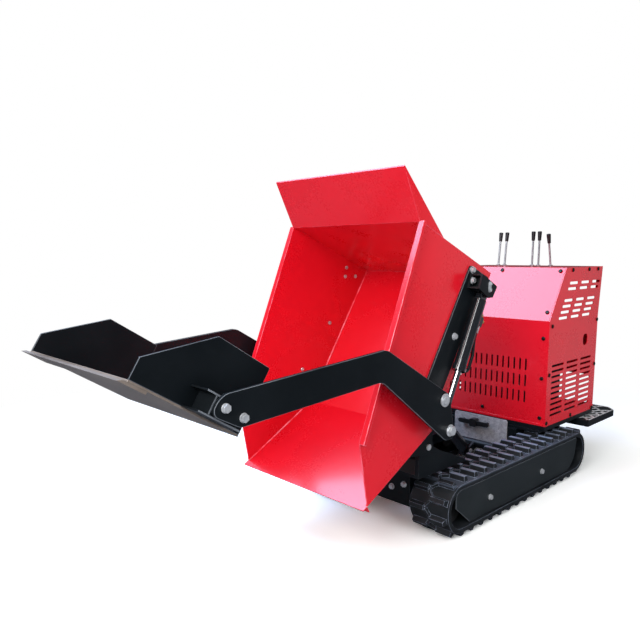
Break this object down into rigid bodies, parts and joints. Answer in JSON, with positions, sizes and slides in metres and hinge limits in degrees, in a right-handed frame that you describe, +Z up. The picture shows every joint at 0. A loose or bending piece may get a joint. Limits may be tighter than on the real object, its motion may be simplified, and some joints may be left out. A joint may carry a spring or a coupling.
{
  "type": "tracked site dumper",
  "caption": "Tracked mini dumper with a front-tipping skip, a self-loading shovel on bent arms, lift and tip cylinders, a rear engine hood, control levers and a rear step.",
  "frame": {"origin": "floor level, midway across and midway along the machine as it stands with the skip tipped and the shovel up", "axes": "+X to the machine's left, +Y to its rear, +Z up"},
  "size_m": [0.834, 2.8112, 1.3755],
  "materials": {
    "rubber": "matte moulded rubber",
    "black": "satin powder coat",
    "red": "gloss paint",
    "zinc": "zinc plated",
    "chrome": "polished rod",
    "steel": "bare rolled steel",
    "grey": "grey primer",
    "iron": "cast",
    "plastic": "moulded grip"
  },
  "bodies": {
    "chassis": {"chassis_frame": "black", "track_left": "rubber", "track_right": "rubber", "track_beams": "black", "idlers": "iron", "sprockets": "iron", "drive_motors": "iron", "rollers": "iron", "side_guards": "black", "hinge_pins": "zinc", "tip_base_pin": "zinc", "cover_plate": "grey", "cover_handle": "plastic", "oil_tank": "black", "hood_deck": "black", "hood_side_left": "red", "hood_side_right": "red", "hood_front": "red", "hood_slope": "red", "hood_top": "red", "hood_rear": "red", "engine": "iron", "levers": "chrome", "lever_knobs": "plastic", "step": "black"},
    "skip": {"skip_floor": "red", "skip_side_left": "red", "skip_side_right": "red", "skip_rear": "red", "skip_flare": "red", "skip_lip": "red", "skip_underframe": "black", "lift_plates": "black", "lift_clevises": "black", "arm_pivots": "zinc"},
    "shovel": {"shovel_arms": "black", "tail_bolts": "zinc", "arm_brackets": "black", "shovel_cheeks": "black", "shovel_floor": "steel", "cutting_edge": "steel"},
    "lift_barrel_l": {"lift_barrel_left": "black", "lift_hose_left": "rubber"},
    "lift_rod_l": {"lift_rod_left": "chrome"},
    "lift_barrel_r": {"lift_barrel_right": "black", "lift_hose_right": "rubber"},
    "lift_rod_r": {"lift_rod_right": "chrome"},
    "tip_barrel_body": {"tip_barrel": "black"},
    "tip_rod_body": {"tip_rod": "chrome"}
  },
  "joints": [
    {"name": "skip_tip", "type": "hinge", "parent": "chassis", "child": "skip", "pos_m": [0, -0.17937, 0.372], "axis": [1, 0, 0], "range_deg": [-67.6, 0]},
    {"name": "shovel_lift", "type": "hinge", "parent": "skip", "child": "shovel", "pos_m": [0, -0.23837, 0.58], "axis": [-1, 0, 0], "range_deg": [-103, 40]},
    {"name": "lift_swing_l", "type": "hinge", "parent": "skip", "child": "lift_barrel_l", "pos_m": [0.361, 0.05858, 0.95195], "axis": [1, 0, 0], "range_deg": [-2, 5.15]},
    {"name": "lift_slide_l", "type": "slide", "parent": "lift_barrel_l", "child": "lift_rod_l", "axis": [0, -0.463, -0.8863], "range_m": [-0.17932, 0.0697]},
    {"name": "lift_swing_r", "type": "hinge", "parent": "skip", "child": "lift_barrel_r", "pos_m": [-0.361, 0.05858, 0.95195], "axis": [1, 0, 0], "range_deg": [-2, 5.15]},
    {"name": "lift_slide_r", "type": "slide", "parent": "lift_barrel_r", "child": "lift_rod_r", "axis": [0, -0.463, -0.8863], "range_m": [-0.17932, 0.0697]},
    {"name": "tip_swing", "type": "hinge", "parent": "chassis", "child": "tip_barrel_body", "pos_m": [0, 0.52563, 0.14], "axis": [1, 0, 0], "range_deg": [0, 18.19]},
    {"name": "tip_slide", "type": "slide", "parent": "tip_barrel_body", "child": "tip_rod_body", "axis": [0, -0.7383, 0.6745], "range_m": [-0.2938, 0.0001]}
  ],
  "couplings": [
    {"joint": "lift_swing_l", "follows": "shovel_lift", "ratio": -0.05},
    {"joint": "lift_slide_l", "follows": "shovel_lift", "m_per_rad": 0.09969},
    {"joint": "lift_swing_r", "follows": "shovel_lift", "ratio": -0.05},
    {"joint": "lift_slide_r", "follows": "shovel_lift", "m_per_rad": 0.09969},
    {"joint": "tip_swing", "follows": "skip_tip", "ratio": -0.26914},
    {"joint": "tip_slide", "follows": "skip_tip", "m_per_rad": 0.24893}
  ]
}
